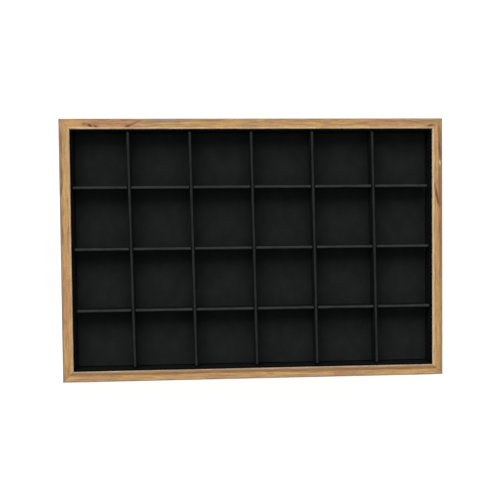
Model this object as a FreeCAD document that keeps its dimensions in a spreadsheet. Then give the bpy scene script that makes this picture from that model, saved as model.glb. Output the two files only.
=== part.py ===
import FreeCAD, Part
import os
from types import SimpleNamespace

import Sketcher
from FreeCAD import Placement, Rotation, Vector

# Jewelry display tray: a mitred wooden frame around a cloth-lined well, with a loose egg-crate of
# cloth-covered boards that splits the well into cells. The origin is the middle of the tray on the
# table, +X runs along its length, +Y to its back and +Z up. Sizes are in millimetres.

# The driving dimensions: name, value, meaning
SIZES = [
    ("tray_length", 350.0, "outside length of the frame, left to right"),
    ("tray_depth", 238.0, "outside depth of the frame, front to back"),
    ("tray_height", 25.0, "height of the frame"),
    ("rail_width", 9.6, "thickness of a wooden rail, seen from above"),
    ("rail_arris", 0.9, "rounding of the rails' long edges"),
    ("rebate_width", 5.0, "how far the rebate under a rail reaches outwards"),
    ("panel_thickness", 3.0, "thickness of the base panel"),
    ("panel_gap", 0.3, "clearance round the base panel in its rebate"),
    ("felt_thickness", 0.7, "thickness of the felt under the base panel"),
    ("felt_recess", 0.3, "height of the felt above the table"),
    ("felt_margin", 1.5, "how far the felt stops short of the panel's edge"),
    ("staple_crown", 6.0, "outside length of a staple's crown"),
    ("staple_width", 1.0, "width of a staple's wire"),
    ("staple_thickness", 0.6, "thickness of a staple's wire"),
    ("staple_leg", 9.0, "length of a staple's legs, crown and all"),
    ("staple_inset", 35.0, "distance of the first staple from a rail's end"),
    ("staple_gap", 0.05, "clearance round a staple in its holes"),
    ("nail_leg", 3.6, "length of one leg of a corner nail"),
    ("nail_thickness", 0.5, "thickness of a corner nail"),
    ("nail_height", 7.0, "height of a corner nail"),
    ("nail_inset", 1.9, "distance of a corner nail from the rails' outer faces"),
    ("cloth_thickness", 0.5, "thickness of the microfibre on floor and dividers"),
    ("pad_board_thickness", 1.5, "card of the floor pad"),
    ("pad_foam_thickness", 2.0, "foam of the floor pad"),
    ("pad_gap", 0.4, "clearance round the floor pad"),
    ("pad_turn_in", 12.0, "width of the cloth turned under the floor pad"),
    ("liner_card_thickness", 0.6, "card of a wall liner"),
    ("liner_cloth_thickness", 0.35, "cloth on a wall liner"),
    ("liner_drop", 1.0, "how far the liners stop below the top of the rails"),
    ("liner_turn_in", 8.0, "width of the cloth turned down behind a liner"),
    ("liner_gap", 0.15, "clearance at the ends of a wall liner"),
    ("divider_board_thickness", 2.0, "card of a divider"),
    ("divider_drop", 1.0, "how far the dividers stop below the top of the rails"),
    ("divider_corner", 1.5, "rounding of a divider's top corners, seen from the side"),
    ("divider_rim", 1.2, "rounding of the cloth along a divider's top and ends"),
    ("column_pitch", 55.8, "distance between the cross dividers"),
    ("row_pitch", 55.7, "distance between the long dividers"),
    ("slot_gap", 0.45, "clearance on each side of a divider in a slot"),
    ("slot_shift", 1.0, "how far behind a cross divider's middle its slots are centred"),
    ("lap_gap", 0.4, "clearance between the bottoms of two slots that cross"),
    ("grid_gap", 0.3, "clearance of the grid above the floor cloth"),
    ("long_end_gap", 1.6, "clearance between a centred long divider's end and the wall cloth"),
    ("cross_end_gap", 0.9, "clearance between a centred cross divider's end and the wall cloth"),
    ("grid_left", 0.35, "how far the loose grid has slid to the left"),
    ("grid_back", 0.3, "how far the loose grid has slid to the back"),
    ("row_slide", 0.95, "how far a long divider stands to the left of the one in front of it"),
    ("cut_spare", 1.0, "how far a cut starts outside the solid that it cuts"),
]

# Counts
COLUMNS = 6
ROWS = 4
STAPLES_PER_LONG_RAIL = 4
STAPLES_PER_SHORT_RAIL = 3

doc = FreeCAD.newDocument("JewelryDisplayTray")


class Size:
    """A length that follows the sheet: its formula, and what the formula gives now."""

    def __init__(self, formula, number):
        self.formula = formula
        self.number = number

    def combined(self, other, sign, number):
        text = other.formula if isinstance(other, Size) else repr(float(other))
        return Size("(%s %s %s)" % (self.formula, sign, text), number)

    def __add__(self, other):
        return self.combined(other, "+", self.number + number_of(other))

    def __sub__(self, other):
        return self.combined(other, "-", self.number - number_of(other))

    def __mul__(self, other):
        return self.combined(other, "*", self.number * number_of(other))

    def __truediv__(self, other):
        return self.combined(other, "/", self.number / number_of(other))

    def __neg__(self):
        return self * -1


def number_of(length):
    """The present value of a Size or of a plain number."""
    return length.number if isinstance(length, Size) else float(length)


def smaller(first, second):
    """The smaller of two Sizes, such as a rounding and the wall that limits it."""
    return Size("min(%s; %s)" % (first.formula, second.formula), min(first.number, second.number))


def make_sheet():
    """Writes the driving dimensions to a sheet and returns them by name."""
    sheet = doc.addObject("Spreadsheet::Sheet", "Sizes")
    sizes = {}
    for row, (alias, number, meaning) in enumerate(SIZES, 1):
        sheet.set("A%d" % row, alias)
        sheet.set("B%d" % row, str(number))
        sheet.setAlias("B%d" % row, alias)
        sheet.set("C%d" % row, meaning)
        sizes[alias] = Size("Sizes." + alias, number)
    doc.recompute()
    return SimpleNamespace(**sizes)


def bind(target, name, length):
    """Ties a property or a sketch constraint to the sheet."""
    target.setExpression(name, length.formula)


# Sketches

def sketch_on(body, role, name):
    """A sketch on one of the body's own origin planes, such as XY_Plane."""
    sketch = body.newObject("Sketcher::SketchObject", name)
    plane = [feature for feature in body.Origin.OriginFeatures if feature.Role == role][0]
    sketch.AttachmentSupport = (plane, [""])
    sketch.MapMode = "FlatFace"
    return sketch


def pin_point(sketch, geometry, point, x, y):
    """Holds one point of a sketch at x, y, by the sheet where these are Sizes."""
    for kind, axis, length in (("DistanceX", -2, x), ("DistanceY", -1, y)):
        if isinstance(length, Size):
            rule = Sketcher.Constraint(kind, -1, 1, geometry, point, length.number)
            bind(sketch, "Constraints[%d]" % sketch.addConstraint(rule), length)
        else:
            sketch.addConstraint(Sketcher.Constraint("PointOnObject", geometry, point, axis))


def polygon(sketch, points):
    """A closed outline of straight lines, each corner held by its x and y. A plain 0 is on the axis."""
    corners = [Vector(number_of(x), number_of(y), 0) for x, y in points]
    count = len(corners)
    lines = [Part.LineSegment(corners[i], corners[(i + 1) % count]) for i in range(count)]
    first = sketch.addGeometry(lines, False)[0]
    for i, (x, y) in enumerate(points):
        before = first + (i - 1) % count
        sketch.addConstraint(Sketcher.Constraint("Coincident", before, 2, first + i, 1))
        pin_point(sketch, first + i, 1, x, y)


def rectangle(sketch, left, right, low, high):
    """An upright rectangle between two x and two y values."""
    polygon(sketch, [(left, low), (right, low), (right, high), (left, high)])


# Features

def new_body(name):
    body = doc.addObject("PartDesign::Body", name)
    body.Label = name
    return body


def pad(body, sketch, length, both_ways=False):
    """Pads a sketch along its normal, or half of the length each way."""
    feature = body.newObject("PartDesign::Pad", sketch.Name + "_pad")
    feature.Profile = sketch
    if both_ways:
        feature.SideType = "Symmetric"
    bind(feature, "Length", length)
    doc.recompute()
    return feature


def pocket(body, sketch, length, both_ways=False):
    """Cuts a sketch out of the body, upwards from the XY plane or half of the length each way."""
    before = body.Shape.Volume
    feature = body.newObject("PartDesign::Pocket", sketch.Name + "_pocket")
    feature.Profile = sketch
    if both_ways:
        feature.SideType = "Symmetric"
    else:
        feature.Reversed = True
    bind(feature, "Length", length)
    doc.recompute()
    if not body.Shape.Volume < before:
        raise ValueError("%s cuts nothing" % feature.Name)
    return feature


def row_of(body, feature, sketch, count, pitch):
    """Repeats a feature along the sketch's x axis."""
    before = body.Shape.Volume
    pattern = body.newObject("PartDesign::LinearPattern", feature.Name + "_row")
    pattern.Originals = [feature]
    pattern.Direction = (sketch, ["H_Axis"])
    bind(pattern, "Length", pitch * (count - 1))
    pattern.Occurrences = count
    body.Tip = pattern
    doc.recompute()
    if not body.Shape.Volume < before:
        raise ValueError("%s repeats nothing" % feature.Name)


def fillet(body, wanted, radius, name):
    """Rounds each edge of the body for which wanted(edge) is true."""
    tip = body.Tip
    names = ["Edge%d" % (i + 1) for i, edge in enumerate(tip.Shape.Edges) if wanted(edge)]
    if not names:
        raise ValueError("%s finds no edge" % name)
    feature = body.newObject("PartDesign::Fillet", name)
    feature.Base = (tip, names)
    bind(feature, "Radius", radius)
    doc.recompute()


def lies_at(edge, axis, number):
    """Whether all of an edge has one coordinate, such as 2 for Z."""
    points = [vertex.Point[axis] for vertex in edge.Vertexes]
    points.append(edge.valueAt((edge.FirstParameter + edge.LastParameter) / 2)[axis])
    return all(abs(point - number_of(number)) < 1e-6 for point in points)


def runs_along(edge, axis):
    """Whether an edge is straight and parallel to one axis, such as 1 for Y."""
    box = edge.BoundBox
    spans = [box.XLength, box.YLength, box.ZLength]
    return spans.pop(axis) > 1e-6 and max(spans) < 1e-6


def place(part, x=None, y=None, z=None, turn=0.0):
    """Puts a part in the tray's frame: turned about Z, then moved by Sizes."""
    part.Placement = Placement(Vector(), Rotation(Vector(0, 0, 1), turn))
    for name, length in (("x", x), ("y", y), ("z", z)):
        if length is not None:
            bind(part, "Placement.Base." + name, length)


# The sizes and heights that several pieces share

s = make_sheet()

rail_lip = s.rail_width - s.rebate_width
panel_low = s.felt_recess + s.felt_thickness
panel_top = panel_low + s.panel_thickness
well_length = s.tray_length - s.rail_width * 2
well_depth = s.tray_depth - s.rail_width * 2
panel_length = well_length + s.rebate_width * 2 - s.panel_gap * 2
panel_depth = well_depth + s.rebate_width * 2 - s.panel_gap * 2

liner_thickness = s.liner_card_thickness + s.liner_cloth_thickness * 2
liner_height = s.tray_height - s.liner_drop - panel_top
inside_length = well_length - liner_thickness * 2
inside_depth = well_depth - liner_thickness * 2

pad_board_low = panel_top + s.cloth_thickness
pad_foam_low = pad_board_low + s.pad_board_thickness
pad_length = inside_length - s.pad_gap * 2
pad_depth = inside_depth - s.pad_gap * 2
pad_height = s.pad_board_thickness + s.pad_foam_thickness + s.cloth_thickness * 2
floor_top = panel_top + pad_height

divider_low = floor_top + s.grid_gap
divider_height = s.tray_height - s.divider_drop - divider_low
divider_thickness = s.divider_board_thickness + s.cloth_thickness * 2
long_divider_length = inside_length - s.long_end_gap * 2
cross_divider_length = inside_depth - s.cross_end_gap * 2
slot_width = divider_thickness + s.slot_gap * 2
slot_depth = (divider_height + s.lap_gap) / 2

staple_line = s.rail_width - s.rebate_width / 2
staple_top = panel_low + s.staple_leg


# The frame

def staples_along(rail_length, count):
    """The places of one rail's staples along it, from its middle."""
    first = -(rail_length / 2 - s.staple_inset)
    step = (rail_length - s.staple_inset * 2) / (count - 1)
    return [first + step * i for i in range(count)]


def wire_outline(x, y, length, lengthwise, gap):
    """The sides of a piece of staple wire seen from above, with a gap all round it."""
    along = (length + gap * 2) / 2
    across = (s.staple_width + gap * 2) / 2
    if lengthwise:
        return x - along, x + along, y - across, y + across
    return x - across, x + across, y - along, y + along


def crown_outline(x, y, lengthwise, gap):
    """A staple's crown, which runs along X if lengthwise, and otherwise along Y."""
    return wire_outline(x, y, s.staple_crown, lengthwise, gap)


def leg_outlines(x, y, lengthwise, gap):
    """A staple's two legs, at the ends of its crown."""
    reach = (s.staple_crown - s.staple_thickness) / 2
    outlines = []
    for side in (-1, 1):
        leg_x = x + reach * side if lengthwise else x
        leg_y = y if lengthwise else y + reach * side
        outlines.append(wire_outline(leg_x, leg_y, s.staple_thickness, lengthwise, gap))
    return outlines


def make_rail(name, length, staple_count, x, y, turn):
    """A rail along X with its outer face at y = 0: profile, rounded edges, mitres and fixing holes."""
    body = new_body(name)
    profile = sketch_on(body, "YZ_Plane", name + "_profile")
    polygon(profile, [
        (0, 0),
        (rail_lip, 0),
        (rail_lip, panel_top),
        (s.rail_width, panel_top),
        (s.rail_width, s.tray_height),
        (0, s.tray_height),
    ])
    pad(body, profile, length, both_ways=True)

    def is_long_arris(edge):
        outside = lies_at(edge, 1, 0) or lies_at(edge, 1, s.rail_width)
        top = lies_at(edge, 2, s.tray_height) and outside
        return runs_along(edge, 0) and (top or (lies_at(edge, 1, 0) and lies_at(edge, 2, 0)))

    fillet(body, is_long_arris, s.rail_arris, name + "_arris")

    mitres = sketch_on(body, "XY_Plane", name + "_mitres")
    for side in (-1, 1):
        outer = (length / 2 + s.cut_spare) * side
        inner = (length / 2 - s.rail_width - s.cut_spare) * side
        polygon(mitres, [
            (outer, -s.cut_spare),
            (outer, s.rail_width + s.cut_spare),
            (inner, s.rail_width + s.cut_spare),
        ])
    pocket(body, mitres, s.tray_height * 2, both_ways=True)

    nail_slots = sketch_on(body, "XY_Plane", name + "_nail_slots")
    for side in (-1, 1):
        near = (length / 2 - s.nail_inset) * side
        far = (length / 2 - s.nail_inset - s.nail_leg) * side
        rectangle(nail_slots, near, far, s.nail_inset, s.nail_inset + s.nail_thickness)
    pocket(body, nail_slots, s.nail_height)

    leg_holes = sketch_on(body, "XY_Plane", name + "_leg_holes")
    for along in staples_along(length, staple_count):
        for outline in leg_outlines(along, staple_line, True, s.staple_gap):
            rectangle(leg_holes, *outline)
    pocket(body, leg_holes, staple_top + s.staple_gap)
    place(body, x=x, y=y, turn=turn)
    return body


def make_corner_nails():
    """One bent nail across each mitre, its corner towards the tray's corner and a leg in each rail."""
    body = new_body("corner_v_nails")
    outline = sketch_on(body, "XY_Plane", "corner_nail_outline")
    for x_side in (-1, 1):
        for y_side in (-1, 1):
            def corner(back_x, back_y):
                x = (s.tray_length / 2 - s.nail_inset - back_x) * x_side
                y = (s.tray_depth / 2 - s.nail_inset - back_y) * y_side
                return x, y

            polygon(outline, [
                corner(0, 0),
                corner(s.nail_leg, 0),
                corner(s.nail_leg, s.nail_thickness),
                corner(s.nail_thickness, s.nail_thickness),
                corner(s.nail_thickness, s.nail_leg),
                corner(0, s.nail_leg),
            ])
    pad(body, outline, s.nail_height)
    return body


# The base

def staple_places():
    """Where all staples are in the tray's frame, and whether they lie lengthwise."""
    places = []
    for side in (-1, 1):
        row = (s.tray_depth / 2 - staple_line) * side
        places += [(x, row, True) for x in staples_along(s.tray_length, STAPLES_PER_LONG_RAIL)]
        column = (s.tray_length / 2 - staple_line) * side
        places += [(column, y, False) for y in staples_along(s.tray_depth, STAPLES_PER_SHORT_RAIL)]
    return places


def centred_slab(name, length, depth, thickness, low):
    """A flat sheet of material in the middle of the tray."""
    body = new_body(name)
    outline = sketch_on(body, "XY_Plane", name + "_outline")
    rectangle(outline, -length / 2, length / 2, -depth / 2, depth / 2)
    pad(body, outline, thickness)
    place(body, z=low)
    return body


def make_base_panel():
    """The panel in the rebate, with a recess for each staple's crown and holes for its legs."""
    body = centred_slab("base_panel", panel_length, panel_depth, s.panel_thickness, panel_low)
    recesses = sketch_on(body, "XY_Plane", "base_panel_recesses")
    holes = sketch_on(body, "XY_Plane", "base_panel_holes")
    for x, y, lengthwise in staple_places():
        rectangle(recesses, *crown_outline(x, y, lengthwise, s.staple_gap))
        for outline in leg_outlines(x, y, lengthwise, s.staple_gap):
            rectangle(holes, *outline)
    pocket(body, holes, s.panel_thickness * 2, both_ways=True)
    pocket(body, recesses, s.staple_thickness)
    return body


def make_base_staples():
    """The staples that hold the base panel up in the rebate, crowns flush with its underside."""
    body = new_body("base_staples")
    crowns = sketch_on(body, "XY_Plane", "base_staple_crowns")
    legs = sketch_on(body, "XY_Plane", "base_staple_legs")
    for x, y, lengthwise in staple_places():
        rectangle(crowns, *crown_outline(x, y, lengthwise, 0))
        for outline in leg_outlines(x, y, lengthwise, 0):
            rectangle(legs, *outline)
    pad(body, crowns, s.staple_thickness)
    pad(body, legs, s.staple_leg)
    place(body, z=panel_low)
    return body


# The floor pad

def make_floor_cloth(board, foam):
    """Cloth over the pad's top and sides, turned in under its edge: a block less the board and foam."""
    block = new_body("floor_cloth_block")
    outline = sketch_on(block, "XY_Plane", "floor_cloth_outline")
    rectangle(outline, -pad_length / 2, pad_length / 2, -pad_depth / 2, pad_depth / 2)
    pad(block, outline, pad_height)

    def is_upper_arris(edge):
        return lies_at(edge, 2, pad_height) or runs_along(edge, 2)

    fillet(block, is_upper_arris, s.cloth_thickness * 0.9, "floor_cloth_arris")
    window = sketch_on(block, "XY_Plane", "floor_cloth_window")
    half_x = pad_length / 2 - s.pad_turn_in
    half_y = pad_depth / 2 - s.pad_turn_in
    rectangle(window, -half_x, half_x, -half_y, half_y)
    pocket(block, window, s.cloth_thickness)
    place(block, z=panel_top)

    filling = doc.addObject("Part::Fuse", "floor_pad_filling")
    filling.Base = board
    filling.Tool = foam
    cloth = doc.addObject("Part::Cut", "floor_cloth")
    cloth.Base = block
    cloth.Tool = filling
    return cloth


# The wall liners

def make_liner(side, length, x, y, turn):
    """A card along X with its back to the rail, and the cloth over its face, top and back."""
    card = new_body("liner_card_" + side)
    face = sketch_on(card, "YZ_Plane", card.Name + "_section")
    card_back = s.liner_cloth_thickness
    card_front = card_back + s.liner_card_thickness
    card_top = liner_height - s.liner_cloth_thickness
    rectangle(face, card_back, card_front, 0, card_top)
    pad(card, face, length, both_ways=True)
    place(card, x=x, y=y, z=panel_top, turn=turn)

    cloth = new_body("liner_cloth_" + side)
    section = sketch_on(cloth, "YZ_Plane", cloth.Name + "_section")
    polygon(section, [
        (card_front, 0),
        (liner_thickness, 0),
        (liner_thickness, liner_height),
        (0, liner_height),
        (0, liner_height - s.liner_turn_in),
        (card_back, liner_height - s.liner_turn_in),
        (card_back, card_top),
        (card_front, card_top),
    ])
    pad(cloth, section, length, both_ways=True)

    def is_top_arris(edge):
        return runs_along(edge, 0) and lies_at(edge, 2, liner_height)

    rounding = s.liner_cloth_thickness * 1.2
    fillet(cloth, is_top_arris, rounding, cloth.Name + "_arris")
    place(cloth, x=x, y=y, z=panel_top, turn=turn)
    return [card, cloth]


# The divider grid

def divider_blank(name, length, thickness, height, corner):
    """An upright board along X with rounded top corners."""
    body = new_body(name)
    outline = sketch_on(body, "XZ_Plane", name + "_outline")
    rectangle(outline, -length / 2, length / 2, 0, height)
    pad(body, outline, thickness, both_ways=True)

    def is_top_corner(edge):
        return runs_along(edge, 1) and lies_at(edge, 2, height)

    fillet(body, is_top_corner, corner, name + "_corners")
    return body


def cut_slots(body, height, width, depth, count, pitch, middle, open_above):
    """A row of slots, open above or below. middle is where the row is centred along the board."""
    first = -pitch * (count - 1) / 2 + middle
    slot = sketch_on(body, "XZ_Plane", body.Name + "_slot")
    low = height - depth if open_above else -s.cut_spare
    high = height + s.cut_spare if open_above else depth
    rectangle(slot, first - width / 2, first + width / 2, low, high)
    cut = pocket(body, slot, divider_thickness * 2, both_ways=True)
    row_of(body, cut, slot, count, pitch)


def make_divider(kind, number, length, count, pitch, middle, open_above, **where):
    """One divider: its card, and the cloth wrapped over its faces, top, ends and slots."""
    cloth = s.cloth_thickness
    board = divider_blank(
        "%s_divider_board_%d" % (kind, number),
        length - cloth * 2,
        s.divider_board_thickness,
        divider_height - cloth,
        s.divider_corner - cloth,
    )
    board_height = divider_height - cloth
    board_slot = slot_width + cloth * 2
    board_depth = slot_depth if open_above else slot_depth + cloth
    cut_slots(board, board_height, board_slot, board_depth, count, pitch, middle, open_above)
    wrap = divider_blank(
        "%s_divider_wrap_%d" % (kind, number),
        length,
        divider_thickness,
        divider_height,
        s.divider_corner,
    )

    def is_rim(edge):
        on_face = lies_at(edge, 1, divider_thickness / 2) or lies_at(edge, 1, -divider_thickness / 2)
        return on_face and not lies_at(edge, 2, 0)

    rim = smaller(s.divider_rim, s.divider_board_thickness / 2 + cloth * 0.9)
    fillet(wrap, is_rim, rim, wrap.Name + "_rim")
    cut_slots(wrap, divider_height, slot_width, slot_depth, count, pitch, middle, open_above)
    place(board, z=divider_low, **where)
    place(wrap, z=divider_low, **where)
    cover = doc.addObject("Part::Cut", "%s_divider_cover_%d" % (kind, number))
    cover.Base = wrap
    cover.Tool = board
    return [board, cover]


def make_long_dividers():
    """The boards along X, front to back, slots open above. Each is a little to the left of the last."""
    made = []
    for i in range(ROWS - 1):
        row = i - (ROWS - 2) / 2
        x = -s.grid_left - s.row_slide * row
        y = s.grid_back + s.slot_shift + s.row_pitch * row
        made += make_divider(
            "long", i + 1, long_divider_length, COLUMNS - 1, s.column_pitch, 0.0, True, x=x, y=y)
    return made


def make_cross_dividers():
    """The boards along Y, left to right, slots open below. They lean alike, as the rows have slid."""
    lean = (s.row_slide / s.row_pitch).formula
    made = []
    for i in range(COLUMNS - 1):
        x = -s.grid_left + s.column_pitch * (i - (COLUMNS - 2) / 2)
        pair = make_divider(
            "cross", i + 1, cross_divider_length, ROWS - 1, s.row_pitch, s.slot_shift, False,
            x=x, y=s.grid_back, turn=90.0)
        for part in (pair[0], pair[1].Base):
            part.setExpression("Placement.Rotation.Angle", "90 deg + atan(%s)" % lean)
        made += pair
    return made


# Assembly

half_length = s.tray_length / 2
half_depth = s.tray_depth / 2
well_half_length = well_length / 2
well_half_depth = well_depth / 2
long_liner = well_length - s.liner_gap * 2
short_liner = inside_depth - s.liner_gap * 2

parts = [
    make_rail("rail_front", s.tray_length, STAPLES_PER_LONG_RAIL, None, -half_depth, 0.0),
    make_rail("rail_back", s.tray_length, STAPLES_PER_LONG_RAIL, None, half_depth, 180.0),
    make_rail("rail_left", s.tray_depth, STAPLES_PER_SHORT_RAIL, -half_length, None, -90.0),
    make_rail("rail_right", s.tray_depth, STAPLES_PER_SHORT_RAIL, half_length, None, 90.0),
    make_corner_nails(),
    make_base_panel(),
    make_base_staples(),
    centred_slab(
        "bottom_felt",
        panel_length - s.felt_margin * 2,
        panel_depth - s.felt_margin * 2,
        s.felt_thickness,
        s.felt_recess,
    ),
]

pad_board = centred_slab(
    "floor_board",
    pad_length - s.cloth_thickness * 2,
    pad_depth - s.cloth_thickness * 2,
    s.pad_board_thickness,
    pad_board_low,
)
pad_foam = centred_slab(
    "floor_foam",
    pad_length - s.cloth_thickness * 2,
    pad_depth - s.cloth_thickness * 2,
    s.pad_foam_thickness,
    pad_foam_low,
)
parts += [pad_board, pad_foam, make_floor_cloth(pad_board, pad_foam)]

parts += make_liner("front", long_liner, None, -well_half_depth, 0.0)
parts += make_liner("back", long_liner, None, well_half_depth, 180.0)
parts += make_liner("left", short_liner, -well_half_length, None, -90.0)
parts += make_liner("right", short_liner, well_half_length, None, 90.0)
parts += make_long_dividers()
parts += make_cross_dividers()

doc.recompute()

# Every feature and every piece is sound before anything is written
for item in doc.Objects:
    if "Invalid" in item.State or "Error" in item.State:
        raise RuntimeError("%s failed" % item.Name)
for part in parts:
    if part.Shape.isNull() or not part.Shape.isValid():
        raise RuntimeError("%s has no sound shape" % part.Label)

os.makedirs("parts", exist_ok=True)
for part in parts:
    part.Shape.exportStep("parts/%s.step" % part.Label)
    print("%-26s %10.1f mm3, %d solids" % (part.Label, part.Shape.Volume, len(part.Shape.Solids)))
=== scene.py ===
"""Jewelry display tray, laid out as an add-on and run as a script.

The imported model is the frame. Its rails, boards, panel and fasteners keep their meshes and get their
finishes here. Each soft piece, such as a divider's cover or the floor cloth, is modelled here over
the solid that it stands for. Lengths are in metres, +X runs along the tray and +Y to its back."""

import math

import bmesh
import bpy
from bpy.props import FloatProperty, FloatVectorProperty, PointerProperty
from bpy.types import Operator, Panel, PropertyGroup
from mathutils import Matrix, Vector, noise


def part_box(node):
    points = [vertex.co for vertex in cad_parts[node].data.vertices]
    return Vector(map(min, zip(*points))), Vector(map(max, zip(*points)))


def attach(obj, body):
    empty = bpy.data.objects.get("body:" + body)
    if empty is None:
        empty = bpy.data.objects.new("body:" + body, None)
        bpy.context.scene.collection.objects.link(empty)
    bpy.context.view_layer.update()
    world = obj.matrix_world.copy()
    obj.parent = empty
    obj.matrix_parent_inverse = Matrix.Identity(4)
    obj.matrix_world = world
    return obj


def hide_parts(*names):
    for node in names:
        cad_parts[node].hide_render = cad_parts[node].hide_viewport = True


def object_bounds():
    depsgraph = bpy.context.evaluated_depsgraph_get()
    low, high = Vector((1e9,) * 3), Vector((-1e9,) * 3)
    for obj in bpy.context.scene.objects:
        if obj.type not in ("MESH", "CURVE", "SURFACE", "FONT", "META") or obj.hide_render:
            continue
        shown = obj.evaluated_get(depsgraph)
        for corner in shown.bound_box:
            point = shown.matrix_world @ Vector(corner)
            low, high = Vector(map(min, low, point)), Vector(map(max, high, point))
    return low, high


bl_info = {
    "name": "Jewelry Display Tray",
    "version": (1, 0, 0),
    "blender": (4, 5, 0),
    "location": "3D Viewport > Sidebar > Tray",
    "description": "Finishes a wooden tray with cloth-covered dividers and sets up its studio",
    "category": "Object",
}

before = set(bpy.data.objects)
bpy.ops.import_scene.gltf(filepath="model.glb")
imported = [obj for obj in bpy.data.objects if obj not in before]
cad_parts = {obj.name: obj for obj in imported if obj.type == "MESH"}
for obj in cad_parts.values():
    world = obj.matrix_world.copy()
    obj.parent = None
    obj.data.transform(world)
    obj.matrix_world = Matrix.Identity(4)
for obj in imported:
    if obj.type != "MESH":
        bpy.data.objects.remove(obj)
cad_low, cad_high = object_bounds()

MM = 0.001
TRAY = "tray"
GRID = "divider_grid"

LONG_COUNT = 3
CROSS_COUNT = 5


# What the frame says about the tray

def middles(kind, count):
    """The middles of the dividers of one kind."""
    boxes = [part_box("%s_divider_cover_%d" % (kind, i + 1)) for i in range(count)]
    return [(low + high) / 2 for low, high in boxes]


long_low, long_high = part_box("long_divider_cover_1")
cross_low, cross_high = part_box("cross_divider_cover_1")
board_low, board_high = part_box("long_divider_board_1")
long_middles = middles("long", LONG_COUNT)
cross_middles = middles("cross", CROSS_COUNT)

DIVIDER_THICKNESS = long_high.y - long_low.y
DIVIDER_HEIGHT = long_high.z - long_low.z
DIVIDER_LOW = long_low.z
DIVIDER_CLOTH = (DIVIDER_THICKNESS - (board_high.y - board_low.y)) / 2
COLUMN_PITCH = cross_middles[1].x - cross_middles[0].x
ROW_PITCH = long_middles[1].y - long_middles[0].y
LEAN = math.atan((long_middles[0].x - long_middles[1].x) / ROW_PITCH)
SLOT_SHIFT = long_middles[1].y - cross_middles[0].y
LONG_LENGTH = long_high.x - long_low.x
CROSS_LENGTH = cross_high.y - cross_low.y

# The slots, as the boards under the covers have them
SLOT_GAP = 0.45 * MM
LAP_GAP = 0.4 * MM
SLOT_WIDTH = DIVIDER_THICKNESS + SLOT_GAP * 2
SLOT_DEPTH = (DIVIDER_HEIGHT + LAP_GAP) / 2
END_CORNER = 1.5 * MM
SLOT_CORNER = 0.6 * MM
SLOT_MOUTH = 0.5 * MM

ARC_STEPS = 5
MERGE = 1e-7


# Settings

class WoodFinish(PropertyGroup):
    """Colours and grain of the rails, and the colours of the painted shade and highlight on their edges.
    """

    honey: FloatVectorProperty(
        name="Honey", description="Main colour of the wood", subtype="COLOR",
        default=(0.430, 0.246, 0.112))
    ochre: FloatVectorProperty(
        name="Ochre", description="Colour of the yellower stretches", subtype="COLOR",
        default=(0.485, 0.288, 0.096))
    red: FloatVectorProperty(
        name="Red", description="Colour of the redder stretches", subtype="COLOR",
        default=(0.430, 0.194, 0.090))
    brown: FloatVectorProperty(
        name="Brown", description="Colour of the late rings and dark streaks", subtype="COLOR",
        default=(0.190, 0.100, 0.044))
    dark: FloatVectorProperty(
        name="Dark", description="Colour of knots, pores and glue lines", subtype="COLOR",
        default=(0.085, 0.034, 0.011))
    # Painted shade: this grey darkens the top along each rail's outer edge and the front rail's inner
    # edge. One grey mark uses it too.
    grey_and_edge_shade: FloatVectorProperty(
        name="Edge_shade_grey", description="Colour of the outer edges", subtype="COLOR",
        default=(0.215, 0.180, 0.145))
    # Painted highlight: this pale colour lightens the inner edge of the back, left and right rails. One
    # pale mark uses it too.
    pale_and_edge_highlight: FloatVectorProperty(
        name="Edge_highlight_pale", description="Colour of the inner edges", subtype="COLOR",
        default=(0.590, 0.452, 0.290))
    ring_pitch: FloatProperty(
        name="Ring pitch", description="Distance between growth rings", unit="LENGTH",
        default=2.1 * MM, min=0.2 * MM, max=10 * MM)
    roughness: FloatProperty(
        name="Roughness", description="Roughness of the lacquer", subtype="FACTOR",
        default=0.45, min=0.0, max=1.0)


class ClothFinish(PropertyGroup):
    """The black microfibre, how it lies, and its painted shade and highlights."""

    floor_colour: FloatVectorProperty(
        name="Floor", description="Colour of the cloth on the floor pad", subtype="COLOR",
        default=(0.0159, 0.0179, 0.0172))
    # Painted shade: upright cloth, on the walls and the dividers' sides, is the floor's microfibre given a
    # darker colour for the shade that falls on it.
    shaded_wall_colour: FloatVectorProperty(
        name="Walls", description="Colour of upright cloth, whose nap hangs down", subtype="COLOR",
        default=(0.0036, 0.0039, 0.0040))
    # Painted highlights: the dividers' rims get paler colours for the sheen they catch from the light, the
    # long ones paler than the cross ones for how the light falls on them.
    long_rim_highlight: FloatVectorProperty(
        name="Long rims", description="Colour of the open nap on the long dividers' rims",
        subtype="COLOR", default=(0.0404, 0.0443, 0.0433))
    cross_rim_highlight: FloatVectorProperty(
        name="Cross rims", description="Colour of the open nap on the cross dividers' rims",
        subtype="COLOR", default=(0.0264, 0.0287, 0.0281))
    rim: FloatProperty(
        name="Rim", description="Rounding of the cloth over a divider's edge", unit="LENGTH",
        default=1.4 * MM, min=0.2 * MM, max=1.45 * MM)
    waviness: FloatProperty(
        name="Waviness", description="How far the cloth strays from its board", unit="LENGTH",
        default=0.12 * MM, min=0.0, max=0.2 * MM)
    crown: FloatProperty(
        name="Crown", description="How far the floor pad swells in each cell", unit="LENGTH",
        default=0.25 * MM, min=0.0, max=0.3 * MM)


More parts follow.
